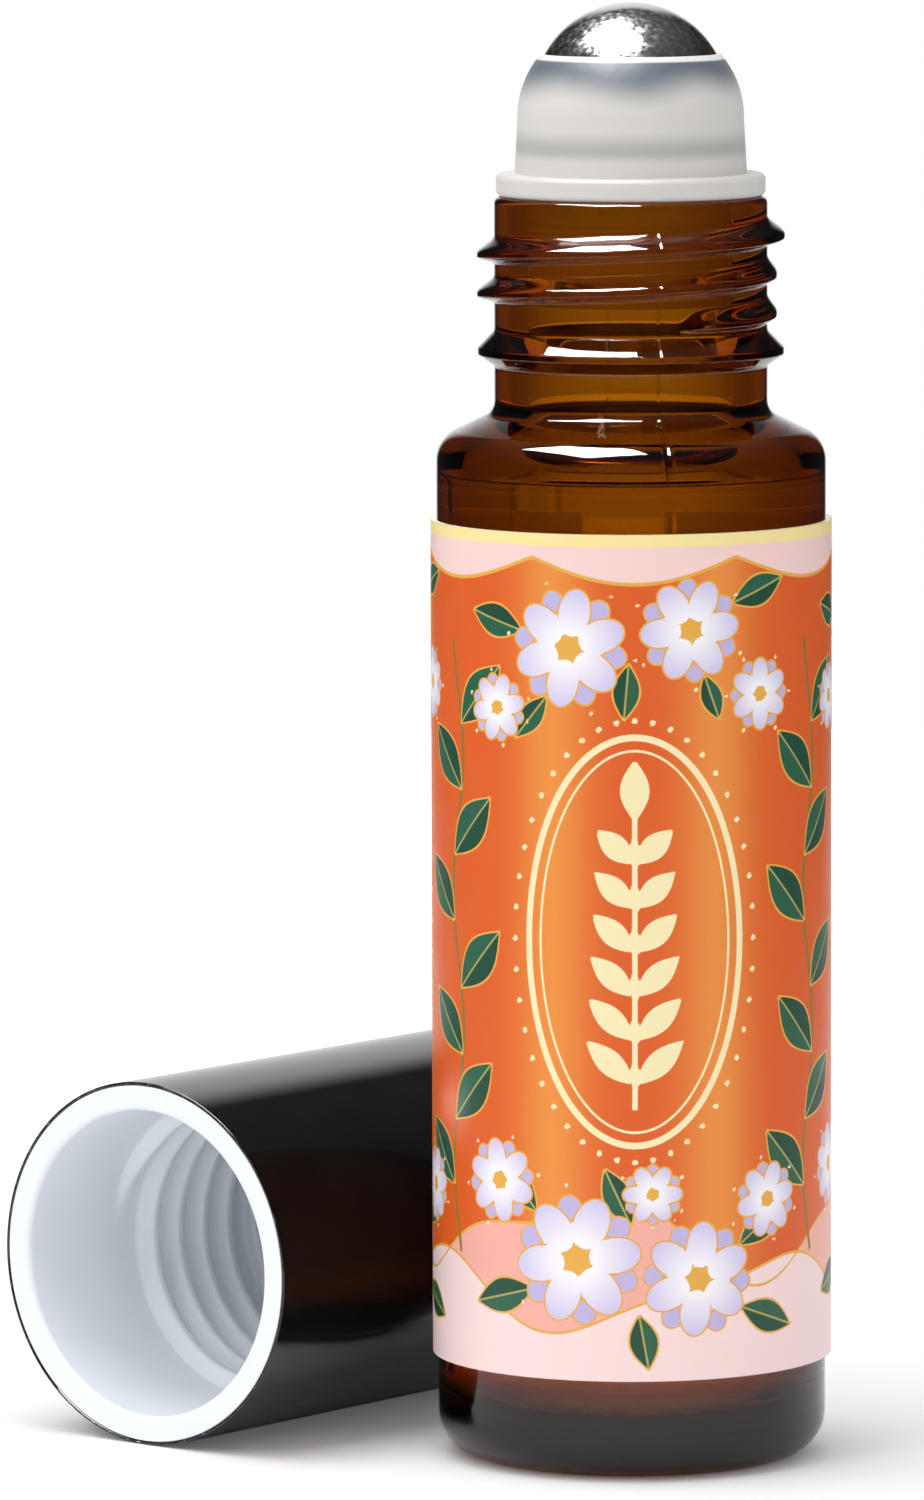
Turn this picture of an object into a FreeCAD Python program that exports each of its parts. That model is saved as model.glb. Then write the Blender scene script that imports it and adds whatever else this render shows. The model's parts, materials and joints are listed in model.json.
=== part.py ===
import FreeCAD, Part
import os
import Sketcher

# Roll-on bottle: a glass vial with its wrap label and contents, a plug-in ball housing with its ball,
# and a lined screw cap that lies beside the bottle. Millimetres, +Z up, the front of the label faces -Y,
# and the origin is the centre of the ring that the bottle stands on.

SIZES = {
    # Glass bottle: the shoulder's height is where its slope would meet the body's side
    "body_diameter": 20.0,
    "glass_wall": 1.85,
    "base_thickness": 3.0,
    "heel_radius": 2.2,
    "cavity_heel_radius": 2.0,
    "bearing_width": 1.4,
    "push_up": 0.6,
    "shoulder_height": 52.5,
    "shoulder_angle": 26.0,
    "shoulder_radius": 1.7,
    "neck_diameter": 14.0,
    "neck_bore": 10.6,
    "neck_length": 11.04,
    "neck_root_radius": 0.9,
    "mouth_radius": 0.4,
    # Transfer bead round the neck: its middle is this far above the neck's root
    "bead_offset": 3.1,
    "bead_rise": 0.85,
    "bead_width": 1.6,
    "bead_crest": 0.5,
    "bead_round": 0.2,
    # Contents: how far their level lies below the cavity's shoulder
    "headspace": 0.5,
    # Wrap label: bare glass below and above it, and the gap between its ends
    "label_foot_margin": 5.3,
    "label_shoulder_margin": 4.05,
    "label_thickness": 0.3,
    "label_gap": 1.6,
    # Roller ball
    "ball_diameter": 10.0,
    "ball_clearance": 0.05,
    # Roller housing: socket and snap lip
    "socket_sink": 0.2,
    "socket_floor": 0.9,
    "housing_wall": 0.75,
    "housing_draft": 0.15,
    "dome_drop": 1.0,
    "dome_radius": 5.0,
    "snap_lip_rise": 2.38,
    "snap_lip_width": 0.15,
    # Roller housing: flange on the neck, plug in its bore, feed hole and slots
    "flange_inset": 0.1,
    "flange_thickness": 1.15,
    "flange_round": 0.3,
    "plug_length": 5.5,
    "plug_clearance": 0.15,
    "plug_wall": 1.2,
    "plug_lead": 0.4,
    "rib_clearance": 0.02,
    "rib_width": 0.5,
    "rib_count": 3,
    "rib_spacing": 1.4,
    "feed_diameter": 3.6,
    "feed_slot_width": 1.0,
    "feed_slot_reach": 3.4,
    "feed_slot_count": 4,
    # Cap: the liner passes over the neck's thread, and the shell holds the liner
    "thread_rise": 0.9,
    "thread_clearance": 0.1,
    "liner_wall": 1.08,
    "liner_clearance": 0.02,
    "liner_bore_length": 17.5,
    "liner_step": 0.7,
    "liner_end": 1.2,
    "liner_lead": 0.25,
    "shell_wall": 0.4,
    "shell_end_radius": 0.8,
    "shell_inner_radius": 0.4,
    # Cap when screwed on: gap above the shoulder, room above the ball, ring that presses on the ball
    "closed_gap": 0.4,
    "cap_headroom": 4.95,
    "seal_diameter": 6.8,
    "seal_wall": 0.8,
    # Where the cap lies: its mouth's centre from the bottle's side and axis, and the way its axis heads
    "cap_offset": 15.3,
    "cap_setback": 1.8,
    "cap_heading": 39.0,
}

UP = FreeCAD.Vector(0, 0, 1)
FULL_TURN = 360.0
# The label's middle faces the front, a quarter turn back from +X
LABEL_FACING = -90.0
# A round takes no more than this share of the wall or step beside it
ROUND_SHARE = 0.4
SAME_PLACE = 1e-4

doc = FreeCAD.newDocument("roll_on_bottle")
dims = doc.addObject("Spreadsheet::Sheet", "dims")
for row, (alias, size) in enumerate(SIZES.items(), start=1):
    dims.set(f"A{row}", alias)
    dims.set(f"B{row}", str(size))
    dims.setAlias(f"B{row}", alias)
doc.recompute()

# Expressions that more than one piece uses, heights from the surface that the bottle stands on
BODY_R = "(dims.body_diameter / 2)"
CAVITY_R = f"({BODY_R} - dims.glass_wall)"
NECK_R = "(dims.neck_diameter / 2)"
BORE_R = "(dims.neck_bore / 2)"
SLOPE = "tan(dims.shoulder_angle)"
SHOULDER_RUN = f"({BODY_R} - {NECK_R})"
NECK_ROOT = f"(dims.shoulder_height + {SHOULDER_RUN} * {SLOPE})"
NECK_TOP = f"({NECK_ROOT} + dims.neck_length)"
SLANT_WALL = "(dims.glass_wall / cos(dims.shoulder_angle))"
CAVITY_SHOULDER = f"(dims.shoulder_height + dims.glass_wall * {SLOPE} - {SLANT_WALL})"
BALL_R = "(dims.ball_diameter / 2)"
SOCKET_R = f"({BALL_R} + dims.ball_clearance)"
BALL_RISE = f"({SOCKET_R} - dims.socket_sink)"
BALL_CENTRE = f"({NECK_TOP} + {BALL_RISE})"
# The flange covers the neck's top, and stands out from the wall on it by that wall's thickness at least
WALL_TOP_R = f"({SOCKET_R} + dims.housing_wall)"
WALL_FOOT_R = f"({WALL_TOP_R} + dims.housing_draft)"
FLANGE_R = f"max({NECK_R} - dims.flange_inset; {WALL_FOOT_R} + dims.housing_wall)"

# The cap's own expressions, lengths from its mouth: its bore clears the neck's thread and the flange
LINER_BORE_R = f"(max({NECK_R} + dims.thread_rise; {FLANGE_R}) + dims.thread_clearance)"
LINER_R = f"({LINER_BORE_R} + dims.liner_wall)"
SHELL_BORE_R = f"({LINER_R} + dims.liner_clearance)"
CAP_R = f"({SHELL_BORE_R} + dims.shell_wall)"
CLOSED_HEIGHT = f"(dims.shoulder_height + ({BODY_R} - {LINER_BORE_R}) * {SLOPE} + dims.closed_gap)"
LINER_FLOOR = f"({BALL_CENTRE} + {BALL_R} - {CLOSED_HEIGHT} + dims.cap_headroom)"
LINER_LENGTH = f"({LINER_FLOOR} + dims.liner_end)"
CAP_LENGTH = f"({LINER_LENGTH} + dims.shell_wall)"


def value(expression):
    """The number that an expression over the sheet comes to."""
    return float(dims.evalExpression(expression))


def new_body(label):
    """An empty body with its label."""
    body = doc.addObject("PartDesign::Body", label)
    body.Label = label
    return body


def add_edge(sketch, start, end, radius):
    """A line, or an arc that bulges to the right of its travel, or to the left if its radius is negative.

    Returns the edge's number, then which of its ends it starts and stops at.
    """
    start_point = FreeCAD.Vector(*start, 0)
    end_point = FreeCAD.Vector(*end, 0)
    if radius is None:
        return sketch.addGeometry(Part.LineSegment(start_point, end_point), False), 1, 2
    turn = 1 if radius > 0 else -1
    chord = end_point - start_point
    to_left = FreeCAD.Vector(-chord.y, chord.x, 0).normalize()
    centre_offset = (radius**2 - (chord.Length / 2) ** 2) ** 0.5
    centre = (start_point + end_point) / 2 + to_left * centre_offset * turn
    circle = Part.Circle(centre, UP, abs(radius))
    first, last = (start_point, end_point) if turn > 0 else (end_point, start_point)
    arc = Part.ArcOfCircle(circle, circle.parameter(first), circle.parameter(last))
    edge = sketch.addGeometry(arc, False)
    return (edge, 1, 2) if turn > 0 else (edge, 2, 1)


def pin_corner(sketch, edge, end, corner, place):
    """Ties one corner of an outline to its two expressions, or to the sketch's axis where one is zero."""
    for kind, axis, expression, size in (
        ("DistanceX", -2, corner[0], place[0]),
        ("DistanceY", -1, corner[1], place[1]),
    ):
        if expression == "0":
            sketch.addConstraint(Sketcher.Constraint("PointOnObject", edge, end, axis))
            continue
        number = sketch.addConstraint(Sketcher.Constraint(kind, -1, 1, edge, end, size))
        sketch.setExpression(f"Constraints[{number}]", expression)


def outline(body, name, corners, role):
    """A closed sketch on one of the body's origin planes, with a pair of expressions for each corner.

    A third item makes the edge that leaves the corner an arc of that radius, negative where it is hollow.
    """
    sketch = body.newObject("Sketcher::SketchObject", name)
    plane = next(feature for feature in body.Origin.OriginFeatures if feature.Role == role)
    sketch.AttachmentSupport = (plane, [""])
    sketch.MapMode = "FlatFace"
    places = [(value(corner[0]), value(corner[1])) for corner in corners]
    edges = []
    for index, corner in enumerate(corners):
        following = places[(index + 1) % len(places)]
        radius = value(corner[2]) if len(corner) > 2 else None
        edges.append(add_edge(sketch, places[index], following, radius))
    for index, (edge, _, stop) in enumerate(edges):
        next_edge, next_start, _ = edges[(index + 1) % len(edges)]
        sketch.addConstraint(Sketcher.Constraint("Coincident", edge, stop, next_edge, next_start))
    for (edge, start, _), corner, place in zip(edges, corners, places):
        pin_corner(sketch, edge, start, corner, place)
        if len(corner) > 2:
            number = sketch.addConstraint(Sketcher.Constraint("Radius", edge, abs(value(corner[2]))))
            sketch.setExpression(f"Constraints[{number}]", f"abs({corner[2]})")
    return sketch


def turned(body, name, corners, role="XZ_Plane"):
    """An outline turned round the sketch's upright axis."""
    sketch = outline(body, f"{name}_outline", corners, role)
    feature = body.newObject("PartDesign::Revolution", name)
    feature.Profile = sketch
    feature.ReferenceAxis = (sketch, ["V_Axis"])
    feature.Angle = FULL_TURN
    doc.recompute()
    return feature


def ring_edges(shape, rings, along):
    """The names of the circular edges with these radii and places along the axis."""
    wanted = [(value(radius), value(place)) for radius, place in rings]
    names = []
    for number, edge in enumerate(shape.Edges, start=1):
        if edge.Degenerated or not isinstance(edge.Curve, Part.Circle):
            continue
        ring = (edge.Curve.Radius, getattr(edge.Curve.Center, along))
        if any(max(abs(a - b) for a, b in zip(ring, want)) < SAME_PLACE for want in wanted):
            names.append(f"Edge{number}")
    return names


def round_rings(body, name, rings, radius, along="z"):
    """Rounds circular edges, each given by expressions for its radius and its place along the axis."""
    base = body.Tip
    feature = body.newObject("PartDesign::Fillet", name)
    feature.Base = (base, ring_edges(base.Shape, rings, along))
    feature.setExpression("Radius", radius)
    doc.recompute()


def make_glass_bottle():
    """Hollow vial: standing ring with a push-up, straight body, sloped shoulder, beaded neck."""
    body = new_body("glass_bottle")
    ring_r = f"({BODY_R} - dims.heel_radius - dims.bearing_width)"
    push_up_r = f"-({ring_r} ^ 2 + dims.push_up ^ 2) / (2 * dims.push_up)"
    bead_r = f"({NECK_R} + dims.bead_rise)"
    bead_middle = f"({NECK_ROOT} + dims.bead_offset)"
    crest_low = f"({bead_middle} - dims.bead_crest / 2)"
    crest_high = f"({bead_middle} + dims.bead_crest / 2)"
    bore_root = f"({CAVITY_SHOULDER} + ({CAVITY_R} - {BORE_R}) * {SLOPE})"
    turned(body, "vial", [
        ("0", "dims.push_up", push_up_r),
        (ring_r, "0"),
        (BODY_R, "0"),
        (BODY_R, "dims.shoulder_height"),
        (NECK_R, NECK_ROOT),
        (NECK_R, f"{bead_middle} - dims.bead_width / 2"),
        (bead_r, crest_low),
        (bead_r, crest_high),
        (NECK_R, f"{bead_middle} + dims.bead_width / 2"),
        (NECK_R, NECK_TOP),
        (BORE_R, NECK_TOP),
        (BORE_R, bore_root),
        (CAVITY_R, CAVITY_SHOULDER),
        (CAVITY_R, "dims.base_thickness"),
        ("0", "dims.base_thickness"),
    ])
    round_rings(body, "heel_round", [(BODY_R, "0")], "dims.heel_radius")
    round_rings(body, "shoulder_round", [(BODY_R, "dims.shoulder_height")],
                f"min(dims.shoulder_radius; {SHOULDER_RUN} * (1 - {ROUND_SHARE}))")
    round_rings(body, "neck_root_round", [(NECK_R, NECK_ROOT)],
                f"min(dims.neck_root_radius; {SHOULDER_RUN} * {ROUND_SHARE})")
    round_rings(body, "mouth_round", [(NECK_R, NECK_TOP)],
                f"min(dims.mouth_radius; ({NECK_R} - {BORE_R}) * {ROUND_SHARE})")
    round_rings(body, "bead_crest_round", [(bead_r, crest_low), (bead_r, crest_high)],
                f"min(dims.bead_round; min(dims.bead_crest; dims.bead_rise) * {ROUND_SHARE})")
    round_rings(body, "cavity_heel_round", [(CAVITY_R, "dims.base_thickness")], "dims.cavity_heel_radius")
    return body


def make_oil_fill():
    """The contents, which fill the cavity up to just under its shoulder."""
    body = new_body("oil_fill")
    level = f"{CAVITY_SHOULDER} - dims.headspace"
    turned(body, "fill", [
        ("0", "dims.base_thickness"),
        (CAVITY_R, "dims.base_thickness"),
        (CAVITY_R, level),
        ("0", level),
    ])
    round_rings(body, "fill_heel_round", [(CAVITY_R, "dims.base_thickness")], "dims.cavity_heel_radius")
    return body


def make_wrap_label():
    """A film wrapped round the straight body, with a narrow gap between its ends at the back."""
    body = new_body("wrap_label")
    outer_r = f"{BODY_R} + dims.label_thickness"
    top = "dims.shoulder_height - dims.label_shoulder_margin"
    film = turned(body, "film", [
        (BODY_R, "dims.label_foot_margin"),
        (outer_r, "dims.label_foot_margin"),
        (outer_r, top),
        (BODY_R, top),
    ])
    film.Midplane = True
    film.setExpression("Angle", f"{FULL_TURN} * (1 - dims.label_gap / (pi * dims.body_diameter))")
    body.Placement = FreeCAD.Placement(FreeCAD.Vector(), UP, LABEL_FACING)
    return body


def make_roller_housing():
    """Moulded fitment: plug with sealing ribs, flange, tapered wall, dome, snap lip, socket and feed slots.

    Its own heights are from the neck's top, where the flange sits.
    """
    body = new_body("roller_housing")
    plug_r = f"({BORE_R} - dims.plug_clearance)"
    plug_bore_r = f"({plug_r} - dims.plug_wall)"
    lip_r = f"sqrt({SOCKET_R} ^ 2 - dims.snap_lip_rise ^ 2)"
    lip_top = f"({BALL_RISE} + dims.snap_lip_rise)"
    feed_r = "(dims.feed_diameter / 2)"
    feed_top = f"({BALL_RISE} - sqrt({SOCKET_R} ^ 2 - {feed_r} ^ 2))"
    floor_under = "-(dims.socket_sink + dims.socket_floor)"
    turned(body, "moulding", [
        (feed_r, floor_under),
        (plug_bore_r, floor_under),
        (plug_bore_r, "-dims.plug_length"),
        (f"{plug_r} - dims.plug_lead / 2", "-dims.plug_length"),
        (plug_r, "dims.plug_lead - dims.plug_length"),
        (plug_r, "0"),
        (FLANGE_R, "0"),
        (FLANGE_R, "dims.flange_thickness"),
        (WALL_FOOT_R, "dims.flange_thickness"),
        (WALL_TOP_R, f"{BALL_RISE} - dims.dome_drop", "dims.dome_radius"),
        (f"{lip_r} + dims.snap_lip_width", lip_top),
        (lip_r, lip_top, f"-{SOCKET_R}"),
        (feed_r, feed_top),
    ])
    round_rings(body, "flange_round", [(FLANGE_R, "0"), (FLANGE_R, "dims.flange_thickness")],
                f"min(dims.flange_round; dims.flange_thickness * {ROUND_SHARE})")
    add_sealing_ribs(body, plug_r)
    add_feed_slots(body, feed_top)
    body.setExpression("Placement.Base.z", NECK_TOP)
    return body


def add_sealing_ribs(body, plug_r):
    """A row of rings along the plug, with sloped flanks, that press on the neck's bore."""
    rib_r = f"({BORE_R} - dims.rib_clearance)"
    root_r = f"({plug_r} - dims.plug_wall / 2)"
    foot = "(dims.plug_lead + dims.rib_width - dims.plug_length)"
    rib = turned(body, "sealing_rib", [
        (root_r, foot),
        (plug_r, foot),
        (rib_r, f"{foot} + dims.rib_width / 4"),
        (rib_r, f"{foot} + dims.rib_width * 3 / 4"),
        (plug_r, f"{foot} + dims.rib_width"),
        (root_r, f"{foot} + dims.rib_width"),
    ])
    ribs = body.newObject("PartDesign::LinearPattern", "sealing_ribs")
    ribs.Originals = [rib]
    ribs.Direction = (rib.Profile[0], ["V_Axis"])
    ribs.setExpression("Occurrences", "dims.rib_count")
    ribs.setExpression("Length", "dims.rib_spacing * (dims.rib_count - 1)")
    body.Tip = ribs
    doc.recompute()


def add_feed_slots(body, feed_top):
    """Slots across the socket's floor, spread round the feed hole, that let the contents reach the ball."""
    whole = body.Shape.Volume
    half_width = "dims.feed_slot_width / 2"
    sketch = outline(body, "feed_slot_outline", [
        ("0", f"-{half_width}"),
        ("dims.feed_slot_reach", f"-{half_width}"),
        ("dims.feed_slot_reach", half_width),
        ("0", half_width),
    ], "XY_Plane")
    sketch.setExpression("AttachmentOffset.Base.z", feed_top)
    slot = body.newObject("PartDesign::Pocket", "feed_slot")
    slot.Profile = sketch
    slot.Reversed = True
    slot.setExpression("Length", SOCKET_R)
    doc.recompute()
    slots = body.newObject("PartDesign::PolarPattern", "feed_slots")
    slots.Originals = [slot]
    slots.Axis = (sketch, ["N_Axis"])
    slots.Angle = FULL_TURN
    slots.setExpression("Occurrences", "dims.feed_slot_count")
    body.Tip = slots
    doc.recompute()
    if body.Shape.Volume >= whole:
        raise RuntimeError("the feed slots cut nothing from the socket")


def make_roller_ball():
    """The ball, held in its socket with a running clearance."""
    body = new_body("roller_ball")
    sphere = body.newObject("PartDesign::AdditiveSphere", "sphere")
    sphere.setExpression("Radius", BALL_R)
    body.setExpression("Placement.Base.z", BALL_CENTRE)
    return body


def lay_down(body):
    """Lays a piece of the cap on its side: its mouth beside the bottle, its closed end heading behind it."""
    body.Placement = FreeCAD.Placement(FreeCAD.Vector(), UP, -value("dims.cap_heading"))
    body.setExpression("Placement.Rotation.Angle", "-dims.cap_heading")
    body.setExpression("Placement.Base.x", f"-({BODY_R} + dims.cap_offset)")
    body.setExpression("Placement.Base.y", "dims.cap_setback")
    body.setExpression("Placement.Base.z", CAP_R)


def make_cap_shell():
    """A thin drawn cup round the liner, with a rounded closed end."""
    body = new_body("cap_shell")
    turned(body, "cup", [
        (SHELL_BORE_R, "0"),
        (CAP_R, "0"),
        (CAP_R, CAP_LENGTH),
        ("0", CAP_LENGTH),
        ("0", LINER_LENGTH),
        (SHELL_BORE_R, LINER_LENGTH),
    ], "XY_Plane")
    round_rings(body, "end_round", [(CAP_R, CAP_LENGTH)], "dims.shell_end_radius", "y")
    round_rings(body, "inner_end_round", [(SHELL_BORE_R, LINER_LENGTH)], "dims.shell_inner_radius", "y")
    lay_down(body)
    return body


def make_cap_liner():
    """Moulded insert: entry bore, narrower core, end wall, and a ring that meets the ball when closed."""
    body = new_body("cap_liner")
    core_r = f"({LINER_BORE_R} - dims.liner_step)"
    seal_r = "(dims.seal_diameter / 2)"
    seal_bore_r = f"({seal_r} - dims.seal_wall)"
    seal_tip = f"({BALL_CENTRE} + sqrt({BALL_R} ^ 2 - {seal_bore_r} ^ 2) - {CLOSED_HEIGHT})"
    turned(body, "moulding", [
        (f"{LINER_BORE_R} + dims.liner_lead", "0"),
        (LINER_R, "0"),
        (LINER_R, LINER_LENGTH),
        ("0", LINER_LENGTH),
        ("0", LINER_FLOOR),
        (seal_bore_r, LINER_FLOOR),
        (seal_bore_r, seal_tip),
        (seal_r, seal_tip),
        (seal_r, LINER_FLOOR),
        (core_r, LINER_FLOOR),
        (core_r, "dims.liner_bore_length"),
        (LINER_BORE_R, "dims.liner_bore_length"),
        (LINER_BORE_R, "dims.liner_lead"),
    ], "XY_Plane")
    round_rings(body, "end_round", [(LINER_R, LINER_LENGTH)], "dims.shell_inner_radius", "y")
    lay_down(body)
    return body


pieces = [
    make_glass_bottle(),
    make_oil_fill(),
    make_wrap_label(),
    make_roller_housing(),
    make_roller_ball(),
    make_cap_shell(),
    make_cap_liner(),
]
doc.recompute()

failed = [thing.Name for thing in doc.Objects if {"Invalid", "Error"} & set(thing.State)]
if failed:
    raise RuntimeError(f"these did not build: {failed}")
for piece in pieces:
    if piece.Shape.isNull() or not piece.Shape.isValid() or len(piece.Shape.Solids) != 1:
        raise RuntimeError(f"{piece.Label} is not one valid solid")

os.makedirs("parts", exist_ok=True)
for piece in pieces:
    piece.Shape.exportStep(f"parts/{piece.Label}.step")
    print(piece.Label, round(piece.Shape.Volume, 2))
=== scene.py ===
import json
import math

import bpy
import numpy as np
from mathutils import Matrix, Vector


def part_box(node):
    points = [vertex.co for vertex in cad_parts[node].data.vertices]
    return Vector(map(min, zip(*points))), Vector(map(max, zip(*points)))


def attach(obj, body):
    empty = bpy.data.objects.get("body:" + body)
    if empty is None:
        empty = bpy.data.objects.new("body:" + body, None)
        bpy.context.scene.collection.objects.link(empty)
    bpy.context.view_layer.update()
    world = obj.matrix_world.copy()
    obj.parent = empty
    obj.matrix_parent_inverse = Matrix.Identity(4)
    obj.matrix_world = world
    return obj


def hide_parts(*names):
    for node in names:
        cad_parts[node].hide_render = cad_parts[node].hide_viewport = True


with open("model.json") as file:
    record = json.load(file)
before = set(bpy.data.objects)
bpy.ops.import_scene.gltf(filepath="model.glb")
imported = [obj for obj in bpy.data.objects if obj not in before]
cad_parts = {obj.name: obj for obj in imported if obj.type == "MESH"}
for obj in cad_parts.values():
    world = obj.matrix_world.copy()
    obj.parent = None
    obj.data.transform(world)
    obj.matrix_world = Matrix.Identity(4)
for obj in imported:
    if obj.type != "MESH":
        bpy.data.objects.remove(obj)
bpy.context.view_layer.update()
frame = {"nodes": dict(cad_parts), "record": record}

# Roll-on bottle with its cap lying beside it. Metres, +Z up, the front of the label faces -Y.
MM = 0.001
HAIR = 0.01 * MM
TURN = 2 * math.pi
FRONT = -math.pi / 2

# Places and sizes read from the frame
_, glass_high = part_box("glass_bottle")
oil_low, oil_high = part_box("oil_fill")
film_low, film_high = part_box("wrap_label")
ball_low, ball_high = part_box("roller_ball")
shell_low, shell_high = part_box("cap_shell")
_, housing_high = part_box("roller_housing")
MOUNTS = {mount["name"]: mount for mount in frame["record"]["mounts"]}
BODY_R = glass_high.x
NECK_TOP = glass_high.z
CAVITY_R = oil_high.x
CAVITY_FLOOR = oil_low.z
OIL_LEVEL = oil_high.z
FILM_R = film_high.x
FILM_FOOT, FILM_TOP = film_low.z, film_high.z
BALL_R = (ball_high.z - ball_low.z) / 2
BALL_CENTRE = (ball_high + ball_low) / 2
LIP_TOP = housing_high.z

# Glass: radii, rounds and heights
HEEL_ROUND = 2.2 * MM
STANDING_RING_R = 6.4 * MM
PUSH_UP = 0.6 * MM
SHOULDER_SLOPE = math.tan(math.radians(26))
SHOULDER_ROUND = 1.7 * MM
NECK_R = 7.0 * MM
NECK_BORE_R = 5.3 * MM
NECK_LENGTH = 11.04 * MM
NECK_ROOT = NECK_TOP - NECK_LENGTH
NECK_ROOT_ROUND = 0.9 * MM
SHOULDER_HEIGHT = NECK_ROOT - (BODY_R - NECK_R) * SHOULDER_SLOPE
MOUTH_ROUND = 0.4 * MM
BEAD_MIDDLE = NECK_ROOT + 3.1 * MM
BEAD_RISE = 0.85 * MM
BEAD_BELOW = 0.75 * MM
BEAD_ABOVE = 1.05 * MM
BEAD_CREST = 0.34 * MM
BEAD_ROUND = 0.14 * MM
BEAD_FOOT_ROUND = 0.3 * MM
HEADSPACE = 0.5 * MM
CAVITY_SHOULDER = OIL_LEVEL + HEADSPACE
CAVITY_ROUND = 2.0 * MM
CAVITY_SHOULDER_ROUND = 1.8 * MM
BORE_ROOT_ROUND = 1.6 * MM

# Thread of the neck: a right-hand ridge, at its start height on the right side before its first turn
THREAD_PITCH = 2.0 * MM
THREAD_START = NECK_TOP - 6.05 * MM
THREAD_FIRST, THREAD_LAST = -0.2, 2.2
THREAD_FADE = 0.12
THREAD_RISE = 0.9 * MM
THREAD_CREST = 0.14 * MM
THREAD_FLANK = 0.4 * MM
THREAD_TOP_FLANK = 0.97 * MM
THREAD_MARGIN = 0.3 * MM
# Its lower turns are eased on the right side, from this cosine of the angle on
THREAD_EASE_FROM = 0.7
THREAD_EASE = 0.45
THREAD_EASE_UP_TO = 1.5

# Mould seam: a hair-fine raised line up the neck on two opposite sides
SEAM_ANGLE = math.radians(-79)
SEAM_RISE = 0.05 * MM
SEAM_HALF_WIDTH = 0.11 * MM

# Cap, by depth in from its mouth
CAP_AXIS = -Vector(MOUNTS["cap_mouth"]["axis"])
LINER_LEAD = 0.25 * MM
CAP_MOUTH = Vector(MOUNTS["cap_mouth"]["pos_m"]) - CAP_AXIS * (
    LINER_LEAD + MOUNTS["cap_mouth"]["dims"]["length_mm"] * MM / 2)
CAP_PLACE = {"centre": CAP_MOUTH, "axis": CAP_AXIS}
CAP_R = (shell_high.z - shell_low.z) / 2
SHELL_WALL = 0.4 * MM
SHELL_END_ROUND = 0.8 * MM
SHELL_EDGE = 0.12 * MM
MOUTH_FLARE = 0.4 * MM
FLARE_ROUND = 0.05 * MM
LINER_CLEARANCE = 0.02 * MM
LINER_R = CAP_R - SHELL_WALL - LINER_CLEARANCE
LINER_BORE_R = MOUNTS["cap_mouth"]["dims"]["r_mm"] * MM
LINER_BORE_LENGTH = 17.5 * MM
LINER_CORE_R = 7.3 * MM
LINER_FLOOR = 25.93 * MM
LINER_END = 1.2 * MM
LINER_END_ROUND = 0.4 * MM
LINER_RIM_ROUND = 0.35 * MM
LINER_LENGTH = LINER_FLOOR + LINER_END
CAP_LENGTH = LINER_LENGTH + SHELL_WALL
SEAL_R = 3.4 * MM
SEAL_BORE_R = 2.6 * MM
SEAL_TIP = 20.25 * MM
LINER_THREAD_DEPTH = 7.4 * MM
LINER_THREAD_TURNS = 4.6
LINER_THREAD_RISE = 0.8 * MM
LINER_THREAD_CREST = 0.3 * MM
LINER_THREAD_FLANK = 0.65 * MM

# Label: its print is laid out in millimetres, across from the film's front and up from its foot
FILM_GAP = 1.6 * MM
FILM_BACK_R = BODY_R + 0.02 * MM
FILM_COLUMNS, FILM_ROWS = 330, 220
PRINT_REPEATS = 3
REPEAT = TURN * FILM_R / MM / PRINT_REPEATS
FILM_HEIGHT = (FILM_TOP - FILM_FOOT) / MM
MEDALLION_MIDDLE = 22.5
MEDALLION_HALF_WIDTH = 5.6
MEDALLION_HALF_HEIGHT = 10.4
MEDALLION_BEADS = 44
MEDALLION_BEAD_GAP = 0.85
MEDALLION_BEAD_R = 0.17
# Measures of a blossom, as shares of its radius, and the radius of a stamen
PETALS = 6
PETAL_MIDDLE = 0.6
PETAL_HALF_LENGTH = 0.4
FRONT_PETAL_HALF_WIDTH = 0.27
BACK_PETAL_HALF_WIDTH = 0.23
EYE_R = 0.2
STAMEN_REACH = 1.16
STAMEN_R = 0.13
# Blossoms: across, up, radius and turn in degrees
BLOSSOMS = [
    (-3.0, 6.2, 3.3, 8), (3.3, 5.2, 2.9, 24), (0.9, 9.6, 1.5, 0), (7.4, 9.0, 1.9, 12), (-7.5, 10.0, 2.1, 40),
    (-3.4, 37.4, 3.0, 20), (2.9, 38.3, 2.6, 5), (6.9, 34.9, 1.8, 30), (-7.6, 34.2, 1.7, 12),
]
# Leaves round the blossoms: across, up, heading in degrees, length and width
CLUSTER_LEAVES = [
    (-5.4, 4.6, 195, 3.8, 1.7), (5.6, 6.8, 35, 3.6, 1.6), (-0.2, 8.0, 115, 3.2, 1.4),
    (-5.2, 8.6, 130, 3.0, 1.3), (5.7, 3.6, -20, 3.6, 1.6), (0.2, 3.4, -80, 2.8, 1.4),
    (-6.0, 38.2, 165, 3.4, 1.6), (5.2, 39.6, 20, 3.4, 1.5), (-0.3, 36.6, -95, 2.8, 1.3),
    (-4.6, 34.9, -130, 2.8, 1.2), (3.6, 36.0, -70, 2.4, 1.1),
]
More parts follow.
